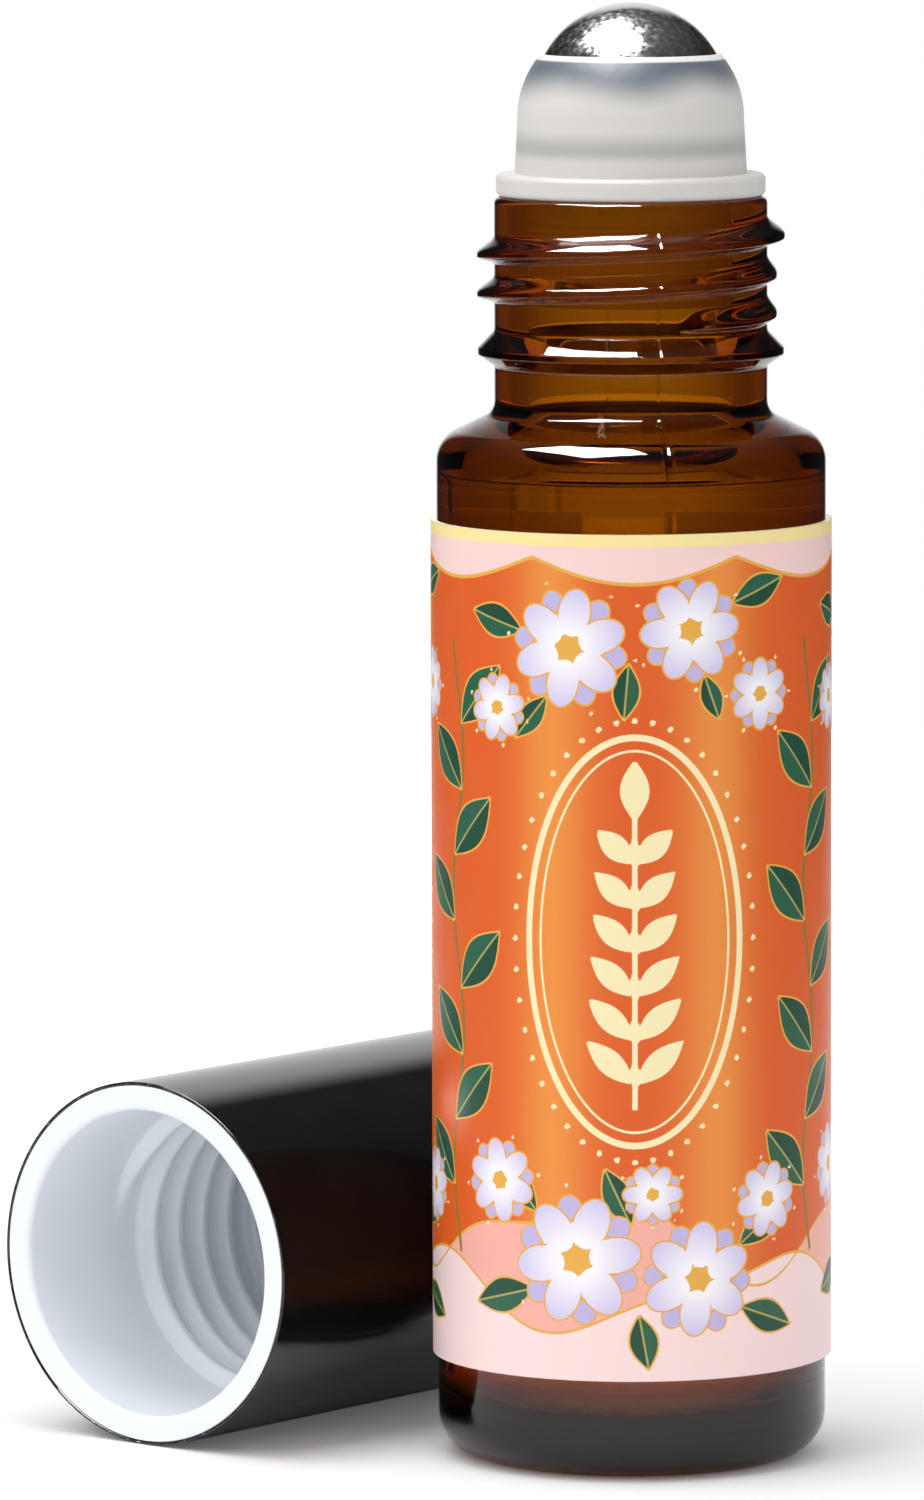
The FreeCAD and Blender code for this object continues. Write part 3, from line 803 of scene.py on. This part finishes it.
def make_label(finish):
    """The film: a grid of angle and height outside, its foot and top rows again on the glass.

    The edges between them are closed. Each field of the print, and of its painted sheen, is stored on its
    points.
    """
    half_turn = math.pi * (1 - FILM_GAP / (TURN * BODY_R))
    angles = np.linspace(FRONT - half_turn, FRONT + half_turn, FILM_COLUMNS)
    heights = np.linspace(FILM_FOOT, FILM_TOP, FILM_ROWS)
    spread, height = np.meshgrid(angles, heights)
    back_spread, back_height = np.meshgrid(angles, heights[[0, -1]])
    outside = axis_points(np.full(spread.shape, FILM_R), height, spread)
    back = axis_points(np.full(back_spread.shape, FILM_BACK_R), back_height, back_spread)
    front = np.arange(spread.size).reshape(spread.shape)
    foot, top = spread.size + np.arange(back_spread.size).reshape(back_spread.shape)
    strips = [
        (front[:-1, :-1], front[:-1, 1:], front[1:, 1:], front[1:, :-1]),
        (foot[:-1], top[:-1], top[1:], foot[1:]),
        (front[0, :-1], foot[:-1], foot[1:], front[0, 1:]),
        (front[-1, :-1], front[-1, 1:], top[1:], top[:-1]),
    ]
    faces = [face for strip in strips for face in np.stack(strip, axis=-1).reshape(-1, 4).tolist()]
    faces.append([*front[:, 0].tolist(), int(top[0]), int(foot[0])])
    faces.append([int(foot[-1]), int(top[-1]), *front[::-1, -1].tolist()])
    points = np.vstack([outside.reshape(-1, 3), back.reshape(-1, 3)])
    piece = add_piece("label_film", points, faces, "bottle", "wrap_label", finish)
    piece.data.set_sharp_from_angle(angle=math.radians(40))
    piece.visible_glossy = False
    layers = print_layers((spread - FRONT) * FILM_R / MM, (height - FILM_FOOT) / MM)
    layers["printed"] = np.ones(spread.shape)
    for name, layer in layers.items():
        values = np.concatenate([layer.ravel(), np.zeros(back_spread.size)])
        field = piece.data.attributes.new(name, "FLOAT", "POINT")
        field.data.foreach_set("value", values.astype(np.float32))
    return piece


def make_ball(finish):
    """The ball: latitude and longitude circles of a sphere, from its lowest point to its highest."""
    latitude = np.linspace(-math.pi / 2, math.pi / 2, 97)
    outline = np.stack([BALL_R * np.cos(latitude), BALL_R * np.sin(latitude)], axis=-1)
    outline[[0, -1], 0] = 0
    angles = full_turn(192)
    return turned_piece(
        "roller_ball_polished", outline, angles, "ball", "roller_ball", finish,
        place={"centre": BALL_CENTRE})


def make_cap_shell(finish):
    """A drawn cup with a rounded end and an edge that thins at the mouth, by depth in from the mouth."""
    bore = CAP_R - SHELL_WALL
    inner_edge_round, outer_edge_round = 0.03 * MM, 0.04 * MM
    outline = rounded_outline([
        (0, LINER_LENGTH, 0),
        (bore, LINER_LENGTH, LINER_END_ROUND),
        (bore, MOUTH_FLARE, FLARE_ROUND),
        (CAP_R - SHELL_EDGE, 0, inner_edge_round),
        (CAP_R, 0, outer_edge_round),
        (CAP_R, CAP_LENGTH, SHELL_END_ROUND),
        (0, CAP_LENGTH, 0),
    ])
    angles = full_turn(256)
    return turned_piece(
        "cap_shell_gloss", outline, angles, "cap", "cap_shell", finish, place=CAP_PLACE)


def make_cap_liner(finish):
    """The cap's insert by depth in from the mouth, flared to the shell's edge, with a thread in its bore."""
    edge, lead_in = 0.25 * MM, 1.0 * MM
    thread_rows = 150
    thread_low = LINER_THREAD_DEPTH - lead_in
    thread_high = LINER_BORE_LENGTH - 2 * edge
    deep = rounded_outline([
        (0, LINER_FLOOR, 0),
        (SEAL_BORE_R, LINER_FLOOR, edge),
        (SEAL_BORE_R, SEAL_TIP, edge),
        (SEAL_R, SEAL_TIP, edge),
        (SEAL_R, LINER_FLOOR, edge),
        (LINER_CORE_R, LINER_FLOOR, edge),
        (LINER_CORE_R, LINER_BORE_LENGTH, edge),
        (LINER_BORE_R, LINER_BORE_LENGTH, edge),
        (LINER_BORE_R, thread_high, 0),
    ])
    threaded = np.stack([
        np.full(thread_rows, LINER_BORE_R),
        np.linspace(thread_high, thread_low, thread_rows),
    ], axis=-1)
    rim = rounded_outline([
        (LINER_BORE_R, thread_low, 0),
        (LINER_BORE_R, 0, LINER_RIM_ROUND),
        (CAP_R - SHELL_EDGE - LINER_CLEARANCE, 0, FLARE_ROUND),
        (LINER_R, MOUTH_FLARE, FLARE_ROUND),
        (LINER_R, LINER_LENGTH, LINER_END_ROUND),
        (0, LINER_LENGTH, 0),
    ])
    outline = np.vstack([deep[:-1], threaded, rim[1:]])

    def raised(radius, angle, height):
        wound, section = helix_section(
            angle, height, LINER_THREAD_DEPTH, LINER_THREAD_CREST, LINER_THREAD_FLANK, LINER_THREAD_FLANK)
        inside = (np.abs(radius - LINER_BORE_R) < HAIR) & (height > thread_low)
        return np.where(inside, -LINER_THREAD_RISE * section * run_out(wound, 0, LINER_THREAD_TURNS), 0)

    angles = full_turn(224)
    return turned_piece(
        "cap_liner_threaded", outline, angles, "cap", "cap_liner", finish, raised, CAP_PLACE)


make_glass(amber_glass())
make_oil(clear_oil())
make_label(printed_film())
make_ball(polished_steel())
make_cap_shell(black_shell())
make_cap_liner(white_plastic())
frame["nodes"]["roller_housing"].data.materials.clear()
frame["nodes"]["roller_housing"].data.materials.append(milky_plastic())


# Stage

FLOOR_SIDE, FLOOR_FRONT, FLOOR_BACK = 0.13, -0.16, 0.35
FLOOR_DROP = 0.02 * MM
LAMP_TARGET = (0, 0, 0.05)
# Soft boxes: name, place, target, size, power and the kind of ray that sees them
LAMPS = [
    ("key_box", (-0.185, -0.04, 0.57), LAMP_TARGET, (0.43, 0.55), 1.6, "diffuse"),
    ("gloss_box", (-0.13, -0.04, 0.55), LAMP_TARGET, (0.43, 0.29), 13.7, "glossy"),
    ("fill_box", (-0.24, -0.3, 0.33), CAP_MOUTH, (0.12, 0.12), 0.28, "diffuse"),
]
CAMERA_PLACE = (-8.71 * MM, -526.8 * MM, 94.12 * MM)
CAMERA_LENS = 247.2
CAMERA_PITCH, CAMERA_ROLL = math.radians(-6.244), math.radians(-0.162)


def make_floor():
    """A pale floor that keeps the shadows, lifted to white for the camera further off."""
    mesh = bpy.data.meshes.new("floor")
    corners = [(-FLOOR_SIDE, FLOOR_FRONT, 0), (FLOOR_SIDE, FLOOR_FRONT, 0),
               (FLOOR_SIDE, FLOOR_BACK, 0), (-FLOOR_SIDE, FLOOR_BACK, 0)]
    mesh.from_pydata(corners, [], [(0, 1, 2, 3)])
    floor = bpy.data.objects.new("floor", mesh)
    floor.location.z = -FLOOR_DROP
    bpy.context.scene.collection.objects.link(floor)
    material, tree, shader = finish_nodes("floor")
    shader.inputs["Base Color"].default_value = (0.86, 0.86, 0.86, 1)
    shader.inputs["Roughness"].default_value = 0.9
    near, far, near_lift, far_lift = 0.05, 0.2, 0.08, 0.9
    lift = spread_value(tree, own_reach(tree), near, far, near_lift, far_lift, True)
    path = tree.nodes.new("ShaderNodeLightPath")
    seen = worked_out(tree, "MULTIPLY", path.outputs["Is Camera Ray"], lift)
    tree.links.new(seen, shader.inputs["Emission Strength"])
    shader.inputs["Emission Color"].default_value = (1, 1, 1, 1)
    mesh.materials.append(material)


def make_lamp(name, place, target, size, power, seen_by):
    """A rectangular soft box at a place, turned to a target and seen by one kind of ray."""
    lamp = bpy.data.lights.new(name, "AREA")
    lamp.shape = "RECTANGLE"
    lamp.size, lamp.size_y = size
    lamp.energy = power
    box = bpy.data.objects.new(name, lamp)
    box.location = place
    box.rotation_euler = (Vector(target) - Vector(place)).to_track_quat("-Z", "Y").to_euler()
    box.visible_camera = False
    box.visible_diffuse = seen_by == "diffuse"
    box.visible_glossy = seen_by == "glossy"
    box.visible_transmission = False
    bpy.context.scene.collection.objects.link(box)


def make_world():
    """White to the camera and even soft light on the object.

    Gloss sees a narrow upright white sheet behind the bottle under a dim ceiling. Glass sees grey, lighter
    straight behind it, and white in front.
    """
    world = bpy.data.worlds.new("studio")
    bpy.context.scene.world = world
    world.use_nodes = True
    tree = world.node_tree
    place = tree.nodes.new("ShaderNodeTexCoord")
    parts = tree.nodes.new("ShaderNodeSeparateXYZ")
    tree.links.new(place.outputs["Generated"], parts.inputs["Vector"])
    path = tree.nodes.new("ShaderNodeLightPath")

    def chosen(ray, level, otherwise):
        mix = tree.nodes.new("ShaderNodeMix")
        tree.links.new(path.outputs[ray], mix.inputs["Factor"])
        for value, slot in ((otherwise, mix.inputs["A"]), (level, mix.inputs["B"])):
            if isinstance(value, float):
                slot.default_value = value
            else:
                tree.links.new(value, slot)
        return mix.outputs["Result"]

    white, ambient, dim, ceiling_top = 1.0, 0.77, 0.02, 0.12
    glass_middle, glass_sides = 0.5, 0.28
    aside = worked_out(tree, "ABSOLUTE", parts.outputs["X"])
    ceiling = spread_value(tree, parts.outputs["Z"], 0.3, 1.0, dim, ceiling_top, True)
    narrow = spread_value(tree, aside, 0.1, 0.3, white, dim, True)
    behind = spread_value(tree, parts.outputs["Y"], 0.72, 0.86, dim, white, True)
    gloss = worked_out(tree, "MAXIMUM", worked_out(tree, "MINIMUM", narrow, behind), ceiling)
    grey = spread_value(tree, aside, 0.1, 0.6, glass_middle, glass_sides, True)
    in_front = spread_value(tree, parts.outputs["Y"], -0.9, -0.1, white, 0.0, True)
    glass = worked_out(tree, "MAXIMUM", grey, in_front)
    level = chosen("Is Transmission Ray", glass, chosen("Is Glossy Ray", gloss, ambient))
    tree.links.new(chosen("Is Camera Ray", white, level), tree.nodes["Background"].inputs["Strength"])
    tree.nodes["Background"].inputs["Color"].default_value = (1, 1, 1, 1)


def make_camera():
    """A long lens in front of the bottle, a little above it and to its left, that looks slightly down."""
    data = bpy.data.cameras.new("camera")
    data.lens = CAMERA_LENS
    data.clip_start, data.clip_end = 0.01, 20
    camera = bpy.data.objects.new("camera", data)
    camera.location = CAMERA_PLACE
    turn = Matrix.Rotation(math.pi / 2 + CAMERA_PITCH, 3, "X") @ Matrix.Rotation(CAMERA_ROLL, 3, "Z")
    camera.rotation_euler = turn.to_euler()
    bpy.context.scene.collection.objects.link(camera)
    bpy.context.scene.camera = camera


make_floor()
for lamp_values in LAMPS:
    make_lamp(*lamp_values)
make_world()
make_camera()
bpy.context.scene.view_settings.view_transform = "Standard"
